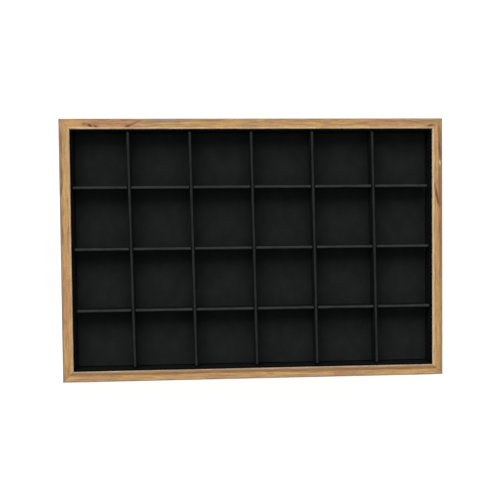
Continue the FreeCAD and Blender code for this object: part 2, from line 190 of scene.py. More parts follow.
class Studio(PropertyGroup):
    """Floor, light and camera."""

    floor_colour: FloatVectorProperty(
        name="Floor", description="Colour of the floor", subtype="COLOR",
        default=(0.35, 0.35, 0.35))
    floor_glow: FloatProperty(
        name="Floor glow", description="Light that the backlit floor gives of itself",
        default=0.85, min=0.0, max=2.0)
    surround: FloatProperty(
        name="Surround", description="Strength of the light from all round",
        default=0.49, min=0.0, max=5.0)
    softbox_power: FloatProperty(
        name="Softbox", description="Power of the softbox behind the tray", unit="POWER",
        default=124.0, min=0.0, max=1000.0)
    softbox_angle: FloatProperty(
        name="Softbox angle", description="Angle of the softbox above the table",
        subtype="ANGLE", default=math.radians(39.5), min=0.0, max=math.radians(90))
    softbox_turn: FloatProperty(
        name="Softbox turn", description="How far the softbox stands to the left of straight behind",
        subtype="ANGLE", default=math.radians(12))
    softbox_distance: FloatProperty(
        name="Softbox distance", description="Distance of the softbox from the tray",
        unit="LENGTH", default=3.0, min=0.3, max=10.0)
    softbox_width: FloatProperty(
        name="Softbox width", description="Width of the softbox", unit="LENGTH",
        default=4.3, min=0.05, max=10.0)
    softbox_depth: FloatProperty(
        name="Softbox depth", description="Depth of the softbox", unit="LENGTH",
        default=1.72, min=0.05, max=10.0)
    camera_place: FloatVectorProperty(
        name="Camera", description="Where the camera is", subtype="TRANSLATION", unit="LENGTH",
        default=(-47.97 * MM, 23.09 * MM, 709.17 * MM))
    camera_aim: FloatVectorProperty(
        name="Aim", description="The point on top of the rails that the camera looks at",
        subtype="TRANSLATION", unit="LENGTH", default=(-4.26 * MM, -0.72 * MM, 25 * MM))
    camera_roll: FloatProperty(
        name="Roll", description="How far the camera is turned about its own axis",
        subtype="ANGLE", default=math.radians(0.569))
    camera_lens: FloatProperty(
        name="Lens", description="Focal length on a 36 mm sensor, in millimetres",
        default=54.07, min=10.0, max=300.0)


class TraySettings(PropertyGroup):
    """All settings of the tray."""

    wood: PointerProperty(type=WoodFinish)
    cloth: PointerProperty(type=ClothFinish)
    studio: PointerProperty(type=Studio)


# Material nodes

class Graph:
    """The nodes of one material."""

    def __init__(self, name):
        self.material = bpy.data.materials.new(name)
        self.material.use_nodes = True
        self.tree = self.material.node_tree
        self.tree.nodes.clear()

    def add(self, kind, inputs, **properties):
        """Adds a node. An input is a plain value or another node's output."""
        node = self.tree.nodes.new("ShaderNode" + kind)
        for name, value in properties.items():
            setattr(node, name, value)
        for key, value in inputs.items():
            if isinstance(value, bpy.types.NodeSocket):
                self.tree.links.new(value, node.inputs[key])
            else:
                node.inputs[key].default_value = value
        return node

    def place(self, turn=0.0, shift=0.0):
        """The point on the tray in millimetres, turned about Z and then shifted along Y."""
        point = self.add("TexCoord", {}).outputs["Object"]
        inputs = {
            "Vector": point,
            "Scale": (1 / MM, 1 / MM, 1 / MM),
            "Rotation": (0, 0, turn),
            "Location": (0, shift / MM, 0),
        }
        return self.add("Mapping", inputs, vector_type="POINT").outputs[0]

    def stretched(self, point, x, y, z, seed=0.0):
        """The point in units of x, y and z, which are the sizes of a pattern's marks."""
        inputs = {"Vector": point, "Scale": (1 / x, 1 / y, 1 / z), "Location": (seed, seed, seed)}
        return self.add("Mapping", inputs, vector_type="POINT").outputs[0]

    def noise(self, point, detail=2.0, roughness=0.5):
        inputs = {"Vector": point, "Scale": 1.0, "Detail": detail, "Roughness": roughness}
        return self.add("TexNoise", inputs).outputs["Fac"]

    def frayed(self, point, along, across, seed):
        """The point, moved about so that the edges of marks fray. along and across say how far."""
        fray = self.add("TexNoise", {
            "Vector": self.stretched(point, 7, 0.8, 0.8, seed), "Scale": 1.0, "Detail": 2.0})
        centred = self.add("VectorMath", {0: fray.outputs["Color"], 1: (0.5, 0.5, 0.5)},
                           operation="SUBTRACT").outputs[0]
        inputs = {0: centred, 1: (along, across, across), 2: point}
        return self.add("VectorMath", inputs, operation="MULTIPLY_ADD").outputs[0]

    def split(self, point):
        return self.add("SeparateXYZ", {0: point}).outputs

    def math(self, operation, first, second=0.0, third=0.0):
        return self.add("Math", {0: first, 1: second, 2: third}, operation=operation).outputs[0]

    def ease(self, value, start, end, low=0.0, high=1.0):
        """low before start, high after end, and a smooth step in between. start may be the larger."""
        inputs = {"Value": value, "From Min": start, "From Max": end, "To Min": low, "To Max": high}
        node = self.add("MapRange", inputs, interpolation_type="SMOOTHSTEP")
        return node.outputs[0]

    def mix(self, factor, first, second, blend="MIX"):
        inputs = {0: factor}
        for key, colour in ((6, first), (7, second)):
            plain = not isinstance(colour, bpy.types.NodeSocket)
            inputs[key] = (*colour, 1.0) if plain else colour
        return self.add("Mix", inputs, data_type="RGBA", blend_type=blend).outputs[2]

    def bump(self, height, distance, strength=1.0):
        inputs = {"Height": height, "Distance": distance, "Strength": strength}
        return self.add("Bump", inputs).outputs[0]

    def finish(self, inputs):
        """Ends the material with a shader that has these inputs."""
        shader = self.add("BsdfPrincipled", inputs)
        self.add("OutputMaterial", {"Surface": shader.outputs[0]})
        return self.material


# Wood

# Each rail: how far it is turned from lying along +X at the front, where its pith was, its dark band's
# place across it, reach and strength, its tone, and the colour and strength of its inner edge's painted
# highlight, which is painted shade on the front rail
RAILS = {
    "rail_front": {
        "turn": 0.0, "seed": 3.1, "pith": (34.0, -20.0), "band": (7.0, 2.5, 0.80), "tone": 1.14,
        "inner": ("grey_and_edge_shade", 0.50)},
    "rail_back": {
        "turn": 180.0, "seed": 11.7, "pith": (-26.0, -34.0), "band": (2.6, 1.5, 0.15), "tone": 1.0,
        "inner": ("pale_and_edge_highlight", 0.68)},
    "rail_left": {
        "turn": 90.0, "seed": 23.9, "pith": (30.0, -38.0), "band": (1.9, 1.5, 0.10), "tone": 1.02,
        "inner": ("pale_and_edge_highlight", 0.40)},
    "rail_right": {
        "turn": -90.0, "seed": 37.3, "pith": (-22.0, -24.0), "band": (2.4, 1.5, 0.30), "tone": 1.04,
        "inner": ("pale_and_edge_highlight", 0.78)},
}
# Marks in the wood: the rail, the place along and across it, half the length and width, how they cross
# the grain, the colour, its strength, and how far the rings bend round the mark
MARKS = [
    ("rail_back", 147.2, 6.3, 2.8, 1.5, -34, "dark", 0.88, 1.8),
    ("rail_back", 141.8, 7.1, 2.3, 1.4, -14, "dark", 0.80, 1.4),
    ("rail_back", 145.0, 6.0, 11.0, 2.6, 0, "red", 0.85, 0.0),
    ("rail_back", 151.5, 4.6, 3.0, 1.2, 8, "brown", 0.60, 0.0),
    ("rail_back", 107.5, 4.4, 8.5, 0.9, 20, "brown", 0.90, 0.0),
    ("rail_back", 113.5, 7.1, 3.4, 1.5, 10, "dark", 0.72, 1.0),
    ("rail_back", 111.0, 5.6, 10.0, 2.4, 12, "red", 0.85, 0.0),
    # A grey streak along the outer edge, in the grey of the painted edge shade
    ("rail_back", 78.0, 1.6, 24.0, 1.0, 1, "grey_and_edge_shade", 0.90, 0.0),
    ("rail_back", 132.0, 4.4, 34.0, 3.0, 0, "red", 0.55, 0.0),
    ("rail_back", 45.0, 5.4, 60.0, 3.4, 0, "ochre", 0.65, 0.0),
    ("rail_back", -118.0, 4.0, 26.0, 2.2, 2, "red", 0.65, 0.0),
    ("rail_back", -163.0, 7.4, 4.5, 1.7, 34, "dark", 0.62, 0.0),
    ("rail_front", -40.0, 4.0, 22.0, 1.6, -1, "red", 0.60, 0.0),
    ("rail_front", 76.0, 4.2, 14.0, 2.2, 2, "red", 0.75, 0.0),
    ("rail_front", 22.0, 4.2, 20.0, 1.4, -2, "ochre", 0.70, 0.0),
    ("rail_front", 140.0, 3.8, 30.0, 2.4, 0, "ochre", 0.80, 0.0),
    ("rail_left", -45.0, 4.8, 52.0, 2.4, 0, "ochre", 0.95, 0.0),
    ("rail_left", 48.0, 4.2, 46.0, 2.8, 0, "red", 0.60, 0.0),
    ("rail_left", -98.0, 2.0, 15.0, 1.4, 1, "brown", 0.85, 0.0),
    ("rail_left", -72.0, 2.1, 15.0, 0.8, 3, "brown", 0.80, 0.0),
    ("rail_left", -56.0, 1.8, 9.0, 1.1, -7, "dark", 0.60, 0.5),
    ("rail_left", -20.0, 1.8, 16.0, 0.9, 2, "brown", 0.80, 0.0),
    ("rail_right", 50.0, 4.2, 20.0, 2.1, 5, "red", 0.85, 0.0),
    ("rail_right", 20.0, 2.4, 40.0, 2.2, 0, "red", 0.95, 0.0),
    ("rail_right", 96.0, 2.2, 22.0, 2.0, 3, "brown", 0.80, 0.0),
    ("rail_right", 88.0, 2.6, 11.0, 1.3, 9, "dark", 0.62, 0.6),
    ("rail_right", 62.0, 2.2, 34.0, 2.0, 1, "brown", 0.62, 0.0),
    ("rail_right", 8.0, 1.6, 46.0, 1.7, 0, "brown", 0.55, 0.0),
    # A small pale fleck, in the pale of the painted inner edge highlight
    ("rail_right", 78.0, 2.5, 3.4, 0.9, 10, "pale_and_edge_highlight", 0.55, 0.0),
    ("rail_right", 46.5, 5.1, 12.5, 1.5, 13, "dark", 0.74, 0.8),
    ("rail_right", 56.0, 7.2, 5.0, 1.0, 6, "brown", 0.90, 0.0),
    ("rail_right", -62.0, 5.0, 44.0, 3.0, 0, "ochre", 0.75, 0.0),
]


def rail_reach(name):
    """The distance from the middle of the tray to the rail's outer face, its width and half its length."""
    low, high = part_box(name)
    size = high - low
    if size.x > size.y:
        return max(-low.y, high.y), size.y, size.x / 2
    return max(-low.x, high.x), size.x, size.y / 2


def wood_material(name, wood):
    """Honey-brown wood with its grain along the rail: rings, streaks, fibres, pores and marks."""
    rail = RAILS[name]
    reach, width, half_length = rail_reach(name)
    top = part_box(name)[1].z / MM
    width = width / MM
    seed = rail["seed"]
    graph = Graph(name + "_wood")
    point = graph.place(math.radians(rail["turn"]), reach)
    along, across, up = graph.split(point)

    # Rings about the pith, bent by the tree's growth and by knots
    drift = graph.noise(graph.stretched(point, 70, 16, 16, seed), 2.0)
    waver = graph.noise(graph.stretched(point, 16, 4, 4, seed), 2.0)
    pith_across, pith_up = rail["pith"]
    offset = graph.math("SUBTRACT", across, pith_across)
    height = graph.math("SUBTRACT", up, pith_up)
    radius = graph.math("POWER", graph.math(
        "ADD", graph.math("MULTIPLY", offset, offset), graph.math("MULTIPLY", height, height)), 0.5)
    radius = graph.math("MULTIPLY_ADD", drift, 15.0, radius)
    radius = graph.math("MULTIPLY_ADD", waver, 1.6, radius)
    frayed = graph.frayed(point, 5, 1.1, seed)
    marks = []
    for mark_rail, mark_along, mark_across, length, spread, slope, tint, strength, bend in MARKS:
        if mark_rail != name:
            continue
        inputs = {
            "Vector": frayed,
            "Location": (mark_along, mark_across, top),
            "Rotation": (0, 0, math.radians(slope)),
            "Scale": (length, spread, spread * 3),
        }
        away = graph.add("Mapping", inputs, vector_type="TEXTURE").outputs[0]
        away = graph.add("VectorMath", {0: away}, operation="LENGTH").outputs["Value"]
        marks.append((graph.ease(away, 1.15, 0.45, 0.0, strength), tint))
        if bend:
            radius = graph.math("MULTIPLY_ADD", graph.ease(away, 3.0, 0.0), bend, radius)

    ring = graph.math("FRACT", graph.math("DIVIDE", radius, wood.ring_pitch / MM))
    late = graph.math("MULTIPLY", graph.ease(ring, 0.25, 0.86), graph.ease(ring, 1.0, 0.93))
    uneven = graph.noise(graph.stretched(point, 120, 3.2, 3.2, seed + 5), 1.0)
    late = graph.math("MULTIPLY", late, graph.ease(uneven, 0.30, 0.68, 0.08, 0.60))
    streaks = graph.noise(graph.stretched(point, 55, 1.7, 1.7, seed + 9), 3.0, 0.6)
    flecks = graph.noise(graph.stretched(point, 15, 1.1, 1.1, seed + 14), 2.0, 0.6)
    fibres = graph.noise(graph.stretched(point, 9, 0.22, 0.22, seed), 2.0, 0.6)
    pores = graph.noise(graph.stretched(point, 2.6, 0.20, 0.20, seed + 2), 0.0)
    pores = graph.ease(pores, 0.66, 0.74)

    colour = graph.mix(graph.ease(streaks, 0.42, 0.66), wood.honey, wood.ochre)
    colour = graph.mix(graph.ease(streaks, 0.50, 0.32, 0.0, 0.42), colour, wood.brown)
    colour = graph.mix(graph.ease(waver, 0.52, 0.70, 0.0, 0.45), colour, wood.red)
    for factor, tint in marks:
        if tint in ("red", "ochre"):
            colour = graph.mix(factor, colour, getattr(wood, tint))
    colour = graph.mix(graph.math("MULTIPLY", late, 0.6), colour, wood.brown)
    band_middle, band_reach, band_strength = rail["band"]
    wandering = graph.math("MULTIPLY_ADD", drift, 2.4, band_middle - 1.2)
    from_band = graph.math("ABSOLUTE", graph.math("SUBTRACT", across, wandering))
    band = graph.ease(from_band, band_reach, 0.4, 0.0, band_strength)
    colour = graph.mix(band, colour, wood.brown)
    for factor, tint in marks:
        if tint not in ("red", "ochre"):
            colour = graph.mix(factor, colour, getattr(wood, tint))

    # The edges: painted shade along the outer edge of the top, stronger in places along the rail, and a
    # painted highlight along the inner edge, painted shade instead on the front rail
    near_top = graph.ease(up, top - 2.4, top - 0.8)
    edge_shade_waver = graph.ease(waver, 0.36, 0.62, 0.62, 1.0)
    outer = graph.math("MULTIPLY", graph.ease(across, 2.2, 0.4, 0.0, 0.95), near_top)
    outer = graph.math("MULTIPLY", outer, edge_shade_waver)
    colour = graph.mix(outer, colour, wood.grey_and_edge_shade)
    tint, strength = rail["inner"]
    inner = graph.math(
        "MULTIPLY", graph.ease(across, width - 2.0, width - 1.3, 0.0, strength), near_top)
    colour = graph.mix(inner, colour, getattr(wood, tint))

    # Dark pores and the glue line of the mitre
    from_end = graph.math("SUBTRACT", half_length / MM, graph.math("ABSOLUTE", along))
    glue = graph.ease(graph.math("SUBTRACT", from_end, across), 0.30, 0.10, 0.0, 0.65)
    dark = graph.math("MAXIMUM", graph.math("MULTIPLY", pores, 0.4), glue)
    colour = graph.mix(dark, colour, wood.dark)
    shade = graph.math("MULTIPLY", graph.ease(fibres, 0.2, 0.8, 0.82, 1.17),
                       graph.ease(flecks, 0.34, 0.66, 0.84 * rail["tone"], 1.17 * rail["tone"]))
    tone = graph.add("CombineColor", {0: shade, 1: shade, 2: shade}).outputs[0]
    colour = graph.mix(1.0, colour, tone, "MULTIPLY")

    relief = graph.math("MULTIPLY_ADD", pores, -0.8, fibres)
    relief = graph.math("MULTIPLY_ADD", late, 0.4, relief)
    roughness = graph.ease(fibres, 0.2, 0.8, wood.roughness - 0.06, wood.roughness + 0.08)
    return graph.finish({
        "Base Color": colour,
        "Roughness": roughness,
        "Normal": graph.bump(relief, 0.05 * MM, 0.6),
        "Specular IOR Level": 0.3,
        "Coat Weight": 0.05,
        "Coat Roughness": 0.35,
    })


# Cloth, card, board and metal

def cloth_material(name, colour, rim=None, rim_top=0.0, rim_height=0.0):
    """Black microfibre with a soft nap, and a painted highlight where it goes over a rim.

    rim is the colour of that painted highlight. rim_top is where the rim is, and rim_height is how far
    down the highlight goes."""
    graph = Graph(name)
    point = graph.place()
    nap = graph.noise(graph.stretched(point, 0.35, 0.35, 0.35), 3.0, 0.65)
    brushed = graph.noise(graph.stretched(point, 11, 17, 9, 4.0), 3.0, 0.55)
    shown = tuple(colour)
    # Painted highlight: the colour turns paler towards the top of the rim.
    if rim is not None:
        height = graph.split(point)[2]
        rim_highlight = graph.ease(height, (rim_top - rim_height) / MM, rim_top / MM)
        shown = graph.mix(rim_highlight, colour, rim)
    tone = graph.math("MULTIPLY", graph.ease(brushed, 0.30, 0.70, 0.90, 1.10),
                      graph.ease(nap, 0.25, 0.75, 0.75, 1.25))
    tone = graph.add("CombineColor", {0: tone, 1: tone, 2: tone}).outputs[0]
    return graph.finish({
        "Base Color": graph.mix(1.0, shown, tone, "MULTIPLY"),
        "Roughness": 1.0,
        "Diffuse Roughness": 1.0,
        "Normal": graph.bump(nap, 0.06 * MM, 0.6),
        "Specular IOR Level": 0.0,
        "Sheen Weight": 0.006,
        "Sheen Roughness": 0.5,
    })


def card_material():
    """Greyboard with its flecks and soft mottling."""
    graph = Graph("greyboard")
    point = graph.place()
    flecks = graph.noise(graph.stretched(point, 0.5, 0.9, 0.5), 2.0)
    mottle = graph.noise(graph.stretched(point, 6, 6, 6), 3.0)
    colour = graph.mix(graph.ease(mottle, 0.3, 0.7), (0.30, 0.28, 0.24), (0.24, 0.22, 0.19))
    colour = graph.mix(graph.ease(flecks, 0.62, 0.72, 0.0, 0.6), colour, (0.12, 0.11, 0.10))
    return graph.finish({
        "Base Color": colour,
        "Roughness": 0.9,
        "Normal": graph.bump(flecks, 0.04 * MM, 0.5),
        "Specular IOR Level": 0.2,
    })


def panel_material():
    """Thin fibreboard with fine felted fibres."""
    graph = Graph("fibreboard")
    point = graph.place()
    fibres = graph.noise(graph.stretched(point, 1.4, 0.3, 0.5), 3.0, 0.6)
    clouds = graph.noise(graph.stretched(point, 14, 14, 6), 2.0)
    colour = graph.mix(graph.ease(clouds, 0.3, 0.7), (0.33, 0.215, 0.115), (0.27, 0.17, 0.09))
    colour = graph.mix(graph.ease(fibres, 0.5, 0.75, 0.0, 0.5), colour, (0.17, 0.10, 0.05))
    return graph.finish({
        "Base Color": colour,
        "Roughness": 0.75,
        "Normal": graph.bump(fibres, 0.05 * MM, 0.5),
        "Specular IOR Level": 0.3,
    })


def felt_material():
    """Black felt, a mat of short fibres."""
    graph = Graph("felt")
    point = graph.place()
    fibres = graph.noise(graph.stretched(point, 0.6, 0.25, 0.4), 4.0, 0.7)
    clouds = graph.noise(graph.stretched(point, 9, 9, 9), 3.0)
    colour = graph.mix(graph.ease(fibres, 0.4, 0.75), (0.012, 0.012, 0.013), (0.040, 0.040, 0.043))
    colour = graph.mix(graph.ease(clouds, 0.4, 0.7, 0.0, 0.4), colour, (0.028, 0.028, 0.030))
    return graph.finish({
        "Base Color": colour,
        "Roughness": 0.95,
        "Normal": graph.bump(fibres, 0.15 * MM, 0.8),
        "Specular IOR Level": 0.1,
        "Sheen Weight": 0.2,
        "Sheen Roughness": 0.5,
    })


def foam_material():
    """Dark grey foam with open pores."""
    graph = Graph("foam")
    point = graph.place()
    cells = graph.add("TexVoronoi", {"Vector": point, "Scale": 2.2}).outputs["Distance"]
    colour = graph.mix(graph.ease(cells, 0.15, 0.45), (0.03, 0.03, 0.032), (0.10, 0.10, 0.105))
    return graph.finish({
        "Base Color": colour,
        "Roughness": 0.95,
        "Normal": graph.bump(cells, 0.2 * MM, 0.8),
        "Specular IOR Level": 0.15,
    })


def steel_material():
    """Drawn steel with fine scratches along the wire."""
    graph = Graph("steel")
    point = graph.place()
    scratches = graph.noise(graph.stretched(point, 1.6, 0.06, 0.3), 2.0)
    colour = graph.mix(graph.ease(scratches, 0.3, 0.7), (0.42, 0.42, 0.43), (0.56, 0.56, 0.57))
    return graph.finish({
        "Base Color": colour,
        "Metallic": 1.0,
        "Roughness": graph.ease(scratches, 0.3, 0.7, 0.24, 0.42),
        "Normal": graph.bump(scratches, 0.02 * MM, 0.4),
    })


def give(nodes, material):
    """Gives CAD nodes a material."""
    for name in nodes:
        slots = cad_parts[name].data.materials
        slots.clear()
        slots.append(material)


# Soft pieces

def corner(x, y, radius=0.0, rimmed=True):
    """A corner of an outline. rimmed says whether cloth goes over the edge after it."""
    return {"place": Vector((x, y)), "radius": radius, "rimmed": rimmed}


def outline(corners, inset):
    """The points of an outline whose rimmed edges have moved inwards, and whether each edge is rimmed.

    The outline runs anticlockwise and turns by right angles. A corner keeps its number of points."""
    points = []
    rimmed = []
    for i, this in enumerate(corners):
        before = corners[i - 1]
        after = corners[(i + 1) % len(corners)]
        arriving = (this["place"] - before["place"]).normalized()
        leaving = (after["place"] - this["place"]).normalized()
        place = this["place"].copy()
        for direction, is_rimmed in ((arriving, before["rimmed"]), (leaving, this["rimmed"])):
            if is_rimmed:
                place += Vector((-direction.y, direction.x)) * inset
        if not this["radius"]:
            points.append(place)
            rimmed.append(this["rimmed"])
            continue
        convex = arriving.cross(leaving) > 0
        radius = max(this["radius"] - inset, 0.0) if convex else this["radius"] + inset
        centre = place + (leaving - arriving) * radius
        for step in range(ARC_STEPS + 1):
            angle = math.pi / 2 * step / ARC_STEPS
            points.append(centre - (leaving * math.cos(angle) - arriving * math.sin(angle)) * radius)
            rimmed.append(this["rimmed"] or step < ARC_STEPS)
    return points, rimmed


def rim_arc(radius, height, upwards):
    """The inset and height along a rounded rim that ends or starts on a face at that height."""
    arc = []
    for step in range(ARC_STEPS + 1):
        angle = math.pi / 2 * step / ARC_STEPS
        arc.append((radius * (1 - math.cos(angle)), height - radius * (1 - math.sin(angle))))
    if upwards:
        return arc
    return [(inset, 2 * height - level) for inset, level in reversed(arc)]


def plate(corners, rim, first_face, last_face, lattice):
    """A skin over a flat thing: rings along its rim, its faces, and a lattice of extra points.

    Each ring is the outline moved inwards and up, as rim says. Either face may be left open."""
    mesh = bmesh.new()
    rings = []
    for inset, height in rim:
        points, rimmed = outline(corners, inset)
        rings.append([mesh.verts.new((point.x, point.y, height)) for point in points])
    for ring, after in zip(rings, rings[1:]):
        for i, is_rimmed in enumerate(rimmed):
            k = (i + 1) % len(ring)
            if is_rimmed:
                mesh.faces.new((ring[i], ring[k], after[k], after[i]))
    if first_face:
        mesh.faces.new(reversed(rings[0]))
    if last_face:
        mesh.faces.new(rings[-1])
    bmesh.ops.remove_doubles(mesh, verts=mesh.verts, dist=MERGE)
    for axis in (0, 1):
        places = [item["place"][axis] for item in corners]
        count = max(1, round((max(places) - min(places)) / lattice))
        normal = Vector((0, 0, 0))
        normal[axis] = 1
        for i in range(1, count):
            level = min(places) + (max(places) - min(places)) * i / count
            geometry = list(mesh.verts) + list(mesh.edges) + list(mesh.faces)
            bmesh.ops.bisect_plane(
                mesh, geom=geometry, dist=MERGE, plane_co=normal * level, plane_no=normal)
    return mesh


def wave(mesh, amount, size, seed):
    """Moves each point a little, smoothly from point to point."""
    for vert in mesh.verts:
        at = vert.co / size + Vector((seed, seed * 1.7, seed * 0.3))
        vert.co += noise.noise_vector(at) * amount


def piece(name, mesh, placing, body, material, replaced, thickness=0.0):
    """Makes the object, which stands for the CAD nodes in replaced and rides on a body."""
    mesh.transform(placing)
    data = bpy.data.meshes.new(name)
    mesh.to_mesh(data)
    mesh.free()
    for face in data.polygons:
        face.use_smooth = True
    data.materials.append(material)
    made = bpy.data.objects.new(name, data)
    bpy.context.scene.collection.objects.link(made)
    if thickness:
        shell = made.modifiers.new("Cloth thickness", "SOLIDIFY")
        shell.thickness = thickness
        shell.offset = -1.0
        shell.use_even_offset = True
    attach(made, body)
    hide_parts(*replaced)
    return made


def divider_corners(length, slots, open_above):
    """The outline of a divider seen from the side, with its slots. Its lower edge is bare."""
    half = length / 2
    height = DIVIDER_HEIGHT
    near = SLOT_WIDTH / 2
    corners = [corner(-half, 0, rimmed=False)]
    if not open_above:
        for middle in slots:
            corners += [
                corner(middle - near, 0),
                corner(middle - near, SLOT_DEPTH, SLOT_CORNER),
                corner(middle + near, SLOT_DEPTH, SLOT_CORNER),
                corner(middle + near, 0, rimmed=False),
            ]
    corners += [corner(half, 0), corner(half, height, END_CORNER)]
    if open_above:
        floor = height - SLOT_DEPTH
        for middle in reversed(slots):
            corners += [
                corner(middle + near, height, SLOT_MOUTH),
                corner(middle + near, floor, SLOT_CORNER),
                corner(middle - near, floor, SLOT_CORNER),
                corner(middle - near, height, SLOT_MOUTH),
            ]
    return corners + [corner(-half, height, END_CORNER)]


def make_cover(kind, number, length, slots, placing, cloth, material):
    """The cloth of one divider, wrapped over its top, ends and slots and open along its bottom."""
    half = DIVIDER_THICKNESS / 2
    rim = rim_arc(cloth.rim, -half, False) + rim_arc(cloth.rim, half, True)
    mesh = plate(divider_corners(length, slots, kind == "long"), rim, True, True, 2.5 * MM)
    wave(mesh, cloth.waviness, 9 * MM, number * 3.7 + len(kind))
    name = "%s_divider_cover_%d" % (kind, number)
    cover = piece(
        name + "_cloth", mesh, placing, GRID, material, [name], DIVIDER_CLOTH)
    return cover


# Operators

class TRAY_OT_finish_rails(Operator):
    """Give the four rails their wood"""

    bl_idname = "tray.finish_rails"
    bl_label = "Finish Rails"

    def execute(self, context):
        wood = context.scene.tray_settings.wood
        for name in RAILS:
            give([name], wood_material(name, wood))
        return {"FINISHED"}


class TRAY_OT_finish_base(Operator):
    """Give the base panel, the staples and the corner nails their finish"""

    bl_idname = "tray.finish_base"
    bl_label = "Finish Base"

    def execute(self, context):
        give(["base_panel"], panel_material())
        give(["base_staples", "corner_v_nails"], steel_material())
        return {"FINISHED"}


class TRAY_OT_add_bottom_felt(Operator):
    """Add the felt under the base panel"""

    bl_idname = "tray.add_bottom_felt"
    bl_label = "Add Bottom Felt"

    def execute(self, context):
        low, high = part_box("bottom_felt")
        size = high - low
        edge = size.z * 0.45
        half_x = size.x / 2
        half_y = size.y / 2
        corners = [
            corner(-half_x, -half_y, MM),
            corner(half_x, -half_y, MM),
            corner(half_x, half_y, MM),
            corner(-half_x, half_y, MM),
        ]
        rim = rim_arc(edge, low.z, False) + rim_arc(edge, high.z, True)
        mesh = plate(corners, rim, True, True, 6 * MM)
        wave(mesh, 0.04 * MM, 8 * MM, 1.0)
        felt = piece(
            "bottom_felt_sheet", mesh, Matrix(), TRAY, felt_material(), ["bottom_felt"])
        return {"FINISHED"}


class TRAY_OT_add_floor_pad(Operator):
    """Add the floor pad: its board's finish, its foam and its cloth"""

    bl_idname = "tray.add_floor_pad"
    bl_label = "Add Floor Pad"

    def execute(self, context):
        cloth = context.scene.tray_settings.cloth
        give(["floor_board"], card_material())
        self.add_foam()
        self.add_cloth(cloth)
        return {"FINISHED"}

    def add_foam(self):
        low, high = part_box("floor_foam")
        half_x = (high.x - low.x) / 2
        half_y = (high.y - low.y) / 2
        corners = [
            corner(-half_x, -half_y, MM),
            corner(half_x, -half_y, MM),
            corner(half_x, half_y, MM),
            corner(-half_x, half_y, MM),
        ]
        edge = 0.3 * MM
        rim = rim_arc(edge, low.z, False) + rim_arc(edge, high.z, True)
        mesh = plate(corners, rim, True, True, 8 * MM)
        foam = piece(
            "floor_foam_sheet", mesh, Matrix(), TRAY, foam_material(), ["floor_foam"])

    def add_cloth(self, cloth):
        low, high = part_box("floor_cloth")
        inner_low, inner_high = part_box("floor_foam")
        thickness = inner_low.x - low.x
        half_x = high.x
        half_y = high.y
        turn_in = 12 * MM
        corners = [
            corner(-half_x, -half_y, MM),
            corner(half_x, -half_y, MM),
            corner(half_x, half_y, MM),
            corner(-half_x, half_y, MM),
        ]
        fold = 0.4 * MM
        arris = 1.0 * MM
        rim = [(turn_in, low.z)] + rim_arc(fold, low.z, False) + rim_arc(arris, high.z, True)
        mesh = plate(corners, rim, False, True, 2.5 * MM)
        self.swell(mesh, cloth.crown, high.z)
        wave(mesh, cloth.waviness * 0.4, 7 * MM, 2.0)
        material = cloth_material("floor_microfibre", cloth.floor_colour)
        floor = piece(
            "floor_cloth_sheet", mesh, Matrix(), TRAY, material, ["floor_cloth"],
            thickness)

    def swell(self, mesh, crown, top):
        """Lifts the top of the pad in the middle of each cell."""
        slope = math.tan(LEAN)
        for vert in mesh.verts:
            if abs(vert.co.z - top) > MERGE:
                continue
            away = vert.co - cross_middles[0]
            column = (away.x + away.y * slope) / COLUMN_PITCH
            row = (away.y - SLOT_SHIFT) / ROW_PITCH
            bulge = abs(math.sin(math.pi * column) * math.sin(math.pi * row))
            vert.co.z += crown * (bulge ** 0.5 - 0.6)


class TRAY_OT_add_wall_liners(Operator):
    """Add the cloth of the four wall liners and finish their cards"""

    bl_idname = "tray.add_wall_liners"
    bl_label = "Add Wall Liners"

    def execute(self, context):
        cloth = context.scene.tray_settings.cloth
        # The liners' cloth gets the darker upright colour, painted shade.
        material = cloth_material("liner_microfibre", cloth.shaded_wall_colour)
        give(["liner_card_" + side for side in LINERS], card_material())
        for i, (side, turn) in enumerate(LINERS.items()):
            self.add_liner(side, math.radians(turn), i, cloth, material)
        return {"FINISHED"}

    def add_liner(self, side, turn, seed, cloth, material):
        node = "liner_cloth_" + side
        low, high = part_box(node)
        card_low, card_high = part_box("liner_card_" + side)
        size = high - low
        length = max(size.x, size.y)
        thickness = min(size.x, size.y)
        cloth_thickness = (thickness - min((card_high - card_low).xy)) / 2
        middle = (low + high) / 2
        half = length / 2
        corners = [
            corner(-half, 0, rimmed=False),
            corner(half, 0, rimmed=False),
            corner(half, size.z),
            corner(-half, size.z, rimmed=False),
        ]
        turn_in = 8 * MM
        edge = thickness * 0.48
        back = rim_arc(edge, -thickness / 2, False)
        rim = [(turn_in, -thickness / 2)] + back + rim_arc(edge, thickness / 2, True)
        mesh = plate(corners, rim, False, True, 3 * MM)
        wave(mesh, cloth.waviness * 0.7, 10 * MM, 5.0 + seed)
        upright = Matrix.Rotation(math.pi / 2, 4, "X")
        facing = Matrix.Rotation(turn, 4, "Z")
        placing = Matrix.Translation((middle.x, middle.y, low.z)) @ facing @ upright
        liner = piece(
            node + "_sheet", mesh, placing, TRAY, material, [node], cloth_thickness)


# Each liner, and how far it is turned from facing the front
LINERS = {"front": 180.0, "back": 0.0, "left": 90.0, "right": -90.0}


class TRAY_OT_add_long_dividers(Operator):
    """Add the cloth of the dividers that run along the tray"""

    bl_idname = "tray.add_long_dividers"
    bl_label = "Add Long Dividers"

    def execute(self, context):
        cloth = context.scene.tray_settings.cloth
        give(["long_divider_board_%d" % (i + 1) for i in range(LONG_COUNT)], card_material())
        # Painted shade on the divider's sides, and a painted highlight on its rims.
        material = cloth_material(
            "long_divider_microfibre", cloth.shaded_wall_colour, cloth.long_rim_highlight, long_high.z, cloth.rim * 0.62)
        slots = [COLUMN_PITCH * (i - (CROSS_COUNT - 1) / 2) for i in range(CROSS_COUNT)]
        upright = Matrix.Rotation(math.pi / 2, 4, "X")
        for i, middle in enumerate(long_middles):
            placing = Matrix.Translation((middle.x, middle.y, DIVIDER_LOW)) @ upright
            make_cover("long", i + 1, LONG_LENGTH, slots, placing, cloth, material)
        return {"FINISHED"}


